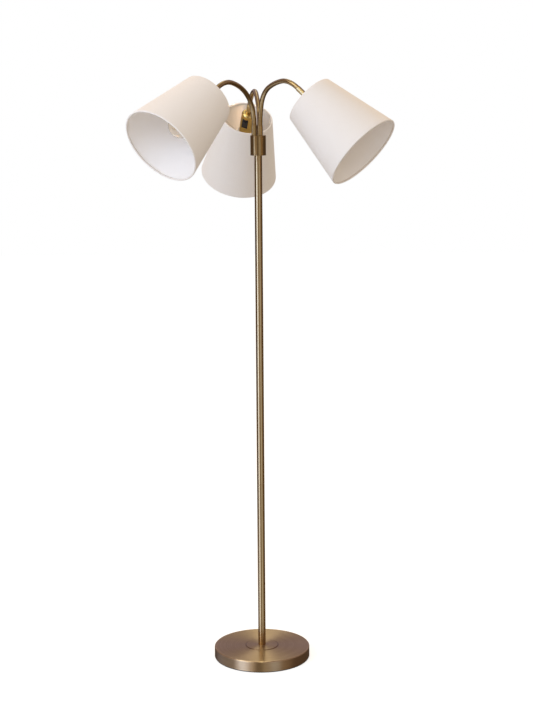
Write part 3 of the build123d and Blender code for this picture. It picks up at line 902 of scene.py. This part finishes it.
@dataclass(frozen=True)
class ConeShade:
    """Conical shade: cloth rolled round a wire at both edges, over a stiff white sheet."""

    top_r: float = 66.0
    bottom_r: float = 101.5
    height: float = 190.0
    cloth_t: float = 0.4
    roll_r: float = 2.1
    roll_steps: int = 20  # in a full turn round the wire
    top_in: float = 0.1  # from the slope's upper end to the cloth
    bottom_in: float = 0.8  # from its lower end to the cloth
    hem: tuple[Point, Point] = ((5.2, 1.4), (4.5, 2.7))  # (along, depth) of the cut edge and a crease
    edge_rows: tuple[float, float] = (6.0, 12.0)  # rings close to each edge keep its roll crisp
    wall_rows: tuple[float, ...] = (40.0, 80.0, 120.0, 160.0)
    wall: float = 1.2  # of cloth and lining together
    lining_gap: float = 0.1  # between the cloth and the lining
    lining_in: float = 2.6  # from the cloth's edges to the lining's
    segments: int = 180
    lap_t: float = 0.8  # how far the sheet's free edge stands up where it laps over itself
    lap_turn: float = 0.12  # width of the lap, in radians
    lap_edge: float = 0.002  # width of the free edge's upright face, in radians

    @property
    def lean(self) -> float:
        """The wall's angle to the axis."""
        return math.atan2(self.bottom_r - self.top_r, self.height)

    @property
    def slant(self) -> float:
        """The wall's length along the slope."""
        return math.hypot(self.bottom_r - self.top_r, self.height)

    @property
    def cloth_end(self) -> float:
        """How far down the slope the cloth's lower edge lies."""
        return self.slant - self.bottom_in

    def on_wall(self, along: float, depth: float) -> Point:
        """Turn a place on the wall into (radius, height) in the head's frame.

        Args:
            along: Distance down the slope from the top edge.
            depth: Distance inwards from the outside.

        Returns:
            Radius and distance below the top edge.
        """
        sine, cosine = math.sin(self.lean), math.cos(self.lean)
        return self.top_r + along * sine - depth * cosine, along * cosine + depth * sine

    def cloth_path(self) -> Profile:
        """Follow the cloth's outer face from one turned-in edge round to the other.

        Returns:
            Points of (along, depth), as on_wall takes them.
        """
        roll, start, end = self.roll_r, self.top_in, self.cloth_end
        half_turn = even_steps(self.roll_steps)[: self.roll_steps // 2 + 1]
        top = [(start + roll - roll * math.sin(a), roll + roll * math.cos(a)) for a in half_turn]
        bottom = [(end - roll + roll * math.sin(a), roll - roll * math.cos(a)) for a in half_turn]
        low_rows = [end - row for row in reversed(self.edge_rows)]
        wall = [(along, 0.0) for along in (*self.edge_rows, *self.wall_rows, *low_rows)]
        low_hem = [(end - along, depth) for along, depth in reversed(self.hem)]
        return [*self.hem, *top, *wall, *bottom, *low_hem]

    def offset(self, path: Profile) -> Profile:
        """Move a path to its inner side by the cloth's thickness.

        Args:
            path: The cloth's outer face.

        Returns:
            Its inner face.
        """
        moved = []
        for i, (x, y) in enumerate(path):
            before, after = path[max(i - 1, 0)], path[min(i + 1, len(path) - 1)]
            dx, dy = after[0] - before[0], after[1] - before[1]
            size = math.hypot(dx, dy)
            moved.append((x - dy / size * self.cloth_t, y + dx / size * self.cloth_t))
        return moved

    def cloth(self, name: str, place: Matrix, seam_deg: float) -> bpy.types.Mesh:
        """Make the cloth as one closed skin with its lapped seam and the cut sheet as its UV map.

        Args:
            name: Mesh name.
            place: The head's frame.
            seam_deg: Angle of the sheet's free edge about the shade's axis.

        Returns:
            The mesh in place.
        """
        path = self.cloth_path()
        loop = path + self.offset(path)[::-1]
        seam = math.radians(seam_deg)
        steps = [seam + step for step in [0.0, self.lap_edge] + even_steps(self.segments)[1:]]
        mesh = turned_mesh(name, [self.on_wall(*p) for p in loop], steps, Matrix.Identity(4))
        for row, (_, depth) in enumerate(path):
            if depth == 0.0:
                self.lift_lap(mesh, row * len(steps), steps)
        mesh.transform(place)
        self.lay_flat(mesh, place)
        return mesh

    def lift_lap(self, mesh: bpy.types.Mesh, first: int, steps: Sequence[float]) -> None:
        """Push one ring of points out under the lap, which starts at the second step.

        Args:
            mesh: The cloth about its own axis.
            first: Index of the ring's first point.
            steps: The ring's angles.
        """
        for number, angle in enumerate(steps[1:], start=1):
            share = 1.0 - (angle - steps[1]) / self.lap_turn
            if share > 0.0:
                spot = mesh.vertices[first + number]
                out = Vector((math.cos(angle), math.sin(angle), 0.0))
                spot.co += out * share * self.lap_t * MM

    def lining(self, name: str, place: Matrix) -> bpy.types.Mesh:
        """Make the stiff sheet that shows inside, behind the turned-in cloth.

        Args:
            name: Mesh name.
            place: The head's frame.

        Returns:
            The mesh in place.
        """
        outer, inner = self.cloth_t + self.lining_gap, self.wall
        head, foot = self.lining_in, self.cloth_end - self.lining_in
        loop = [(head, outer), (foot, outer), (foot, inner), (head, inner)]
        return turned_mesh(name, [self.on_wall(*p) for p in loop], even_steps(self.segments), place)

    def lay_flat(self, mesh: bpy.types.Mesh, place: Matrix) -> None:
        """Write the UV map of the flat sheet that the cone is rolled from.

        Args:
            mesh: The cloth in place.
            place: The head's frame.
        """
        back = place.inverted()
        apex = self.top_r / math.sin(self.lean) * MM
        layer = mesh.uv_layers.new(name="cut_sheet")
        for face in mesh.polygons:
            spots = [back @ mesh.vertices[v].co for v in face.vertices]
            middle = math.atan2(sum(s.y for s in spots), sum(s.x for s in spots))
            for loop, spot in zip(face.loop_indices, spots):
                turn = math.atan2(spot.y, spot.x)
                turn += TURN * round((middle - turn) / TURN)
                reach = apex + spot.z / math.cos(self.lean)
                angle = turn * math.sin(self.lean)
                layer.data[loop].uv = (reach * math.cos(angle), reach * math.sin(angle))


class Finishes:
    """The materials that the three heads share."""

    def __init__(self) -> None:
        """Build each finish once."""
        self.cloth = ShadeCloth().build()
        self.lining = Moulded("lining_white_styrene", "#fdf8f3", "#fbf5ef", 0.6, 4.0, bump=0.05).build()
        self.holder = Moulded("holder_black_phenolic", "#1d1b1a", "#111010", 0.4, 1.5).build()
        self.switch = Moulded("switch_black_nylon", "#1a1a1a", "#0f0f0f", 0.42, 0.8).build()
        self.rocker = Moulded("rocker_black_abs", "#232323", "#191919", 0.28, 1.0, coat=0.3).build()
        self.wire = Moulded("frame_white_powder_coat", "#e9e4dc", "#dcd5ca", 0.5, 0.9, bump=0.2).build()
        self.cap = Moulded("cap_nickel_plated_brass", "#d6d2c8", "#b9b4a8", 0.25, 1.5, metallic=1.0).build()
        self.glass = LampGlass().build()
        self.glow = Moulded("bulb_phosphor_silicone", "#f4dfae", "#e6c98c", 0.45, 1.5, bump=0.05).build()


@dataclass(frozen=True)
class LampHead:
    """Cup, switch, shade, frame and bulb at the end of one arm."""

    arm: GooseneckArm
    shade: ConeShade
    bulb_mid: float = 108.0  # below the shade's top edge, as the stem's heights
    stem: tuple[Point, ...] = (  # (radius, height), from inside the cap to its tip
        (0.0, 56.5),
        (4.5, 56.5),
        (3.15, 72.0),
        (1.6, 84.0),
        (1.2, 90.0),
        (0.0, 91.0),
    )
    stem_sides: int = 24

    def build(self, filaments: GeometryTree, shop: Finishes) -> None:
        """Dress the head's CAD pieces and make the cloth, the lining and the bulb's inside.

        Args:
            filaments: The tree that makes the bulb's filaments.
            shop: The finishes that all heads share.
        """
        self.dress(shop)
        self.cover(shop)
        self.fill_bulb(filaments, shop)

    @property
    def place(self) -> Matrix:
        """The head's frame."""
        return self.arm.head_frame()

    @property
    def body(self) -> str:
        """The body that the head's pieces ride on."""
        return self.arm.bodies()[-1]

    def dress(self, shop: Finishes) -> None:
        """Give the head's CAD pieces their finishes.

        Args:
            shop: The finishes that all heads share.
        """
        name = self.arm.name
        lathe = {"streak": 0.25, "ring_mm": 1.2, "anisotropy": 0.35, "bump": 0.05}
        aged = lathe | {"streak": 0.3, "anisotropy": 0.4}
        cup = AgedBrass(f"{name}_cup_polished_brass", "#b08e48", "#e6c87c", 0.16, **lathe)
        neck = AgedBrass(f"{name}_ferrule_polished_brass", "#a88a52", "#dfc48c", 0.17, **lathe)
        foot = AgedBrass(f"{name}_foot_ferrule_brass", "#8f7244", "#c8aa74", 0.22, **aged)
        foot_place = Matrix.Translation(self.arm.arcs()[0].start.to_translation())
        for part, material in {
            "socket_cup": cup.build(self.place),
            "upper_ferrule": neck.build(self.place),
            "lower_ferrule": foot.build(foot_place),
            "lampholder": shop.holder,
            "shade_ring": shop.holder,
            "switch_housing": shop.switch,
            "rocker": shop.rocker,
            "shade_frame": shop.wire,
            "bulb_cap": shop.cap,
            "bulb_glass": shop.glass,
        }.items():
            dress_nodes(material, f"{name}_{part}")

    def cover(self, shop: Finishes) -> None:
        """Make the shade's cloth and its lining.

        Args:
            shop: The finishes that all heads share.
        """
        name = self.arm.name
        skin = self.shade.cloth("cloth", self.place, self.arm.seam_deg)
        cloth = object_from(f"{name}_shade_cloth", skin, [shop.cloth])
        settle(cloth, self.body)
        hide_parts(f"{name}_shade")
        sheet = self.shade.lining("lining", self.place)
        settle(object_from(f"{name}_shade_lining", sheet, [shop.lining]), self.body)

    def fill_bulb(self, filaments: GeometryTree, shop: Finishes) -> None:
        """Make the filaments and the glass stem that show through the bulb.

        Args:
            filaments: The tree that makes the filaments.
            shop: The finishes that all heads share.
        """
        name = self.arm.name
        values = {"Base": self.bulb_mid * MM, "Material": shop.glow}
        strips = filaments.run(f"{name}_filaments", values)
        strips.transform(self.place)
        smooth(strips)
        settle(object_from(f"{name}_filaments", strips, [shop.glow]), self.body)
        post = turned_mesh("stem", self.stem, even_steps(self.stem_sides), self.place, closed=False)
        settle(object_from(f"{name}_bulb_stem", post, [shop.glass]), self.body)


ARMS = (
    GooseneckArm("left", 184, 250, ((0, 41), (-22, 22), (1, 18), (3, 46)), -46),
    GooseneckArm("right", 304, 291, ((0, 24), (15, 43), (2, 17), (17, 53)), 37),
    GooseneckArm("rear", 64, 97, ((0, 52), (-3, 19), (9, 36), (-3, 37)), 164, switch_turn_deg=27.0),
)


# ------------------------------------------------------------------ stage
@dataclass(frozen=True)
class Softbox:
    """A rectangular soft light that faces a point on the lamp, narrowed by a grid where it has one."""

    name: str
    spot: Spot
    size: tuple[float, float]
    radiance: float
    colour: str
    aim: Spot = (0.0, 0.0, 1.35)
    spread_deg: float = 180.0

    def build(self) -> None:
        """Hang the light. Its power follows from its radiance and its area."""
        data = bpy.data.lights.new(self.name, "AREA")
        data.shape = "RECTANGLE"
        data.size, data.size_y = self.size
        data.energy = self.radiance * math.pi * self.size[0] * self.size[1]
        data.color = linear(self.colour)[:3]
        data.spread = math.radians(self.spread_deg)
        lamp = bpy.data.objects.new(self.name, data)
        way = Vector(self.aim) - Vector(self.spot)
        turn = way.to_track_quat("-Z", "Y").to_matrix().to_4x4()
        lamp.matrix_world = Matrix.Translation(self.spot) @ turn
        lamp.visible_camera = False
        lamp.visible_glossy = False  # metal mirrors the painted room of the world instead
        bpy.context.scene.collection.objects.link(lamp)


@dataclass(frozen=True)
class Glow:
    """A patch of the painted room, seen in directions that reach far enough along all of its ways."""

    colour: Radiance
    ways: tuple[tuple[Spot, float, float], ...]  # each way, where the patch starts and where it is full


@dataclass(frozen=True)
class MirroredRoom:
    """The room that metal mirrors, painted on the world by direction.

    A ring of walls and windows stands around, and patches lie over it, each over the one before:
    the ceiling in shade, a bank of lights along its middle, a skylight high at the left, a window
    pane there at eye level, and the pale floor low down.
    """

    walls: tuple[tuple[float, str], ...] = (  # degrees right of the camera's side, and colour
        (-180, "#241d16"),
        (-100, "#2b241d"),
        (-70, "#30291f"),
        (-61, "#a3b7e8"),
        (-40, "#a3b7e8"),
        (-28, "#76777c"),
        (-19, "#636160"),
        (-14, "#38342d"),
        (-2, "#38342d"),
        (6, "#5d5d5d"),
        (20, "#696c73"),
        (26, "#737c8e"),
        (40, "#737c8e"),
        (50, "#595552"),
        (66, "#504942"),
        (84, "#2f271f"),
    )
    window: float = 5.0  # radiance of white in the walls' colours
    glows: tuple[Glow, ...] = (
        Glow(linear("#aca0af")[:3], ((UP, -0.02, 0.15),)),
        Glow((2.3, 2.4, 2.15), ((UP, 0.42, 0.55), (LEFT, 0.14, 0.04), (RIGHT, 0.14, 0.04))),
        Glow((4.2, 4.6, 5.2), (((-0.60, -0.50, 0.62), 0.92, 0.98),)),
        Glow((3.3, 4.9, 9.6), (((-0.75, -0.66, 0.0), 0.98, 0.995),)),
        Glow((0.8, 0.9, 1.25), ((DOWN, 0.3, 0.36), (LEFT, 0.4, 0.8))),
    )

    def paint(self, tree: Tree) -> Socket:
        """Add the room's nodes to the world's tree.

        Args:
            tree: The world's tree.

        Returns:
            The room's colour by direction.
        """
        gaze = tree.add("ShaderNodeTexCoord").outputs["Generated"]
        seen = self.ring(tree, gaze)
        for glow in self.glows:
            share: Socket | float = 1.0
            for way, start, full in glow.ways:
                reach = tree.out(VECTOR_MATH, [gaze, way], operation="DOT_PRODUCT")
                span = {"Value": reach, "From Min": start, "From Max": full}
                share = tree.out(MATH, [share, tree.out("ShaderNodeMapRange", span)], operation="MULTIPLY")
            layers = {"Factor": share, "A": seen, "B": (*glow.colour, 1.0)}
            seen = tree.out(MIX, layers, data_type="RGBA")
        return seen

    def ring(self, tree: Tree, gaze: Socket) -> Socket:
        """Paint the walls by the angle around.

        Args:
            tree: The world's tree.
            gaze: The direction that is looked in.

        Returns:
            The walls' colour.
        """
        aside, away, _ = tree.add("ShaderNodeSeparateXYZ", [gaze]).outputs
        front = tree.out(MATH, [away, -1.0], operation="MULTIPLY")
        turn = tree.out(MATH, [aside, front], operation="ARCTAN2")
        share = tree.out(MATH, [turn, 1.0 / TURN, 0.5], operation="MULTIPLY_ADD")
        node = tree.add("ShaderNodeValToRGB", [share])
        stops = node.color_ramp.elements
        stops[1].color = stops[0].color = linear(self.walls[0][1])
        for degrees, code in self.walls[1:]:
            stops.new(degrees / 360.0 + 0.5).color = linear(code)
        return tree.out(VECTOR_MATH, {0: node.outputs[0], "Scale": self.window}, operation="SCALE")


@dataclass(frozen=True)
class Studio:
    """Floor, world, lights and camera."""

    ambient: str = "#e5dcd0"
    paper: str = "#b9b7b3"
    floor_half: float = 9.0
    floor_gap: float = 0.0004  # so that pad and floor aren't in one plane
    floor_lift: float = 0.72  # what the camera sees more than the paper's own light
    distance: float = 4.1317  # the camera's, in metres, fitted to the photograph with what follows
    eye: float = 1.5559
    pitch_deg: float = 10.279
    yaw_deg: float = 0.239
    roll_deg: float = -0.415
    lens: float = 83.08
    lights: tuple[Softbox, ...] = (
        Softbox("key_window", (-2.28, -1.91, 1.77), (1.7, 1.9), 2.8, "#c8dfff"),
        Softbox("fill_window", (-1.26, -2.69, 1.77), (2.6, 2.4), 1.45, "#c8dfff"),
        Softbox("lamp_behind", (0.0, 2.12, 3.47), (1.6, 1.6), 3.5, "#ffc459"),
        Softbox(
            "warm_gridded",
            (-0.03, -0.95, 1.98),
            (0.05, 0.05),
            4.1,
            "#ffd8ac",
            aim=(-0.03, 0.27, 1.41),  # into the rear shade
            spread_deg=5.0,
        ),
    )

    def build(self) -> None:
        """Set the stage and the camera."""
        bpy.context.scene.view_settings.view_transform = "Standard"
        self.camera()
        self.world()
        self.floor()
        for light in self.lights:
            light.build()

    def camera(self) -> None:
        """Stand the camera where the photograph was taken from."""
        data = bpy.data.cameras.new("photo_view")
        data.lens = self.lens
        data.sensor_width = 36.0
        data.sensor_fit = "AUTO"
        pitch, yaw, roll = (math.radians(v) for v in (self.pitch_deg, self.yaw_deg, self.roll_deg))
        flat = math.cos(pitch)
        forward = Vector((math.sin(yaw) * flat, math.cos(yaw) * flat, -math.sin(pitch)))
        level = Vector((math.cos(yaw), -math.sin(yaw), 0.0))
        upright = level.cross(forward)
        right = level * math.cos(roll) + upright * math.sin(roll)
        up = upright * math.cos(roll) - level * math.sin(roll)
        turn = Matrix((right, up, -forward)).transposed().to_4x4()
        camera = bpy.data.objects.new("photo_view", data)
        camera.matrix_world = Matrix.Translation((0.0, -self.distance, self.eye)) @ turn
        bpy.context.scene.collection.objects.link(camera)
        bpy.context.scene.camera = camera

    def world(self) -> None:
        """Soft room light for cloth, a painted room for metal, and white for the camera and glass."""
        world = bpy.data.worlds.new("studio")
        world.use_nodes = True
        bpy.context.scene.world = world
        tree = Tree(world.node_tree)
        mirrored = tree.add("ShaderNodeLightPath").outputs["Is Glossy Ray"]
        room = {"Factor": mirrored, "A": linear(self.ambient), "B": MirroredRoom().paint(tree)}
        lit = tree.out(MIX, room, data_type="RGBA")
        backdrop = {"Factor": self.in_view(tree), "A": lit, "B": (1.0, 1.0, 1.0, 1.0)}
        shine = tree.out("ShaderNodeBackground", [tree.out(MIX, backdrop, data_type="RGBA")])
        tree.add("ShaderNodeOutputWorld", {"Surface": shine})

    @staticmethod
    def in_view(tree: Tree) -> Socket:
        """Give 1 to rays from the camera, straight or through glass, and 0 to all others."""
        ray = tree.add("ShaderNodeLightPath").outputs
        return tree.out(MATH, [ray["Is Camera Ray"], ray["Is Transmission Ray"]], operation="MAXIMUM")

    def floor(self) -> None:
        """Lay a pale floor that reads as white and keeps a faint shadow."""
        shape = bmesh.new()
        bmesh.ops.create_grid(shape, x_segments=4, y_segments=4, size=self.floor_half)
        bmesh.ops.translate(shape, verts=shape.verts, vec=(0.0, 0.0, -self.floor_gap))
        mesh = bpy.data.meshes.new("floor")
        shape.to_mesh(mesh)
        shape.free()
        material = bpy.data.materials.new("floor_white_paper")
        material.use_nodes = True
        tree = Tree(material.node_tree)
        paper = tree.out("ShaderNodeBsdfDiffuse", {"Color": linear(self.paper)})
        strength = tree.out(MATH, [self.in_view(tree), self.floor_lift], operation="MULTIPLY")
        lift = tree.out("ShaderNodeEmission", {"Strength": strength})
        both = tree.out("ShaderNodeAddShader", [paper, lift])
        tree.add("ShaderNodeOutputMaterial", {"Surface": both})
        floor = object_from("floor", mesh, [material])
        floor.visible_glossy = False


def main() -> None:
    """Build the stage and the lamp, piece by piece."""
    logging.basicConfig(level=logging.INFO, format="%(name)s %(message)s")
    Studio().build()
    Stand().dress()
    winding, filaments, shop = winding_tree(), filament_tree(), Finishes()
    sheath = WoundBrass().build()
    for arm in ARMS:
        arm.build(winding, sheath)
        LampHead(arm, ConeShade()).build(filaments, shop)


if __name__ == "__main__":
    main()
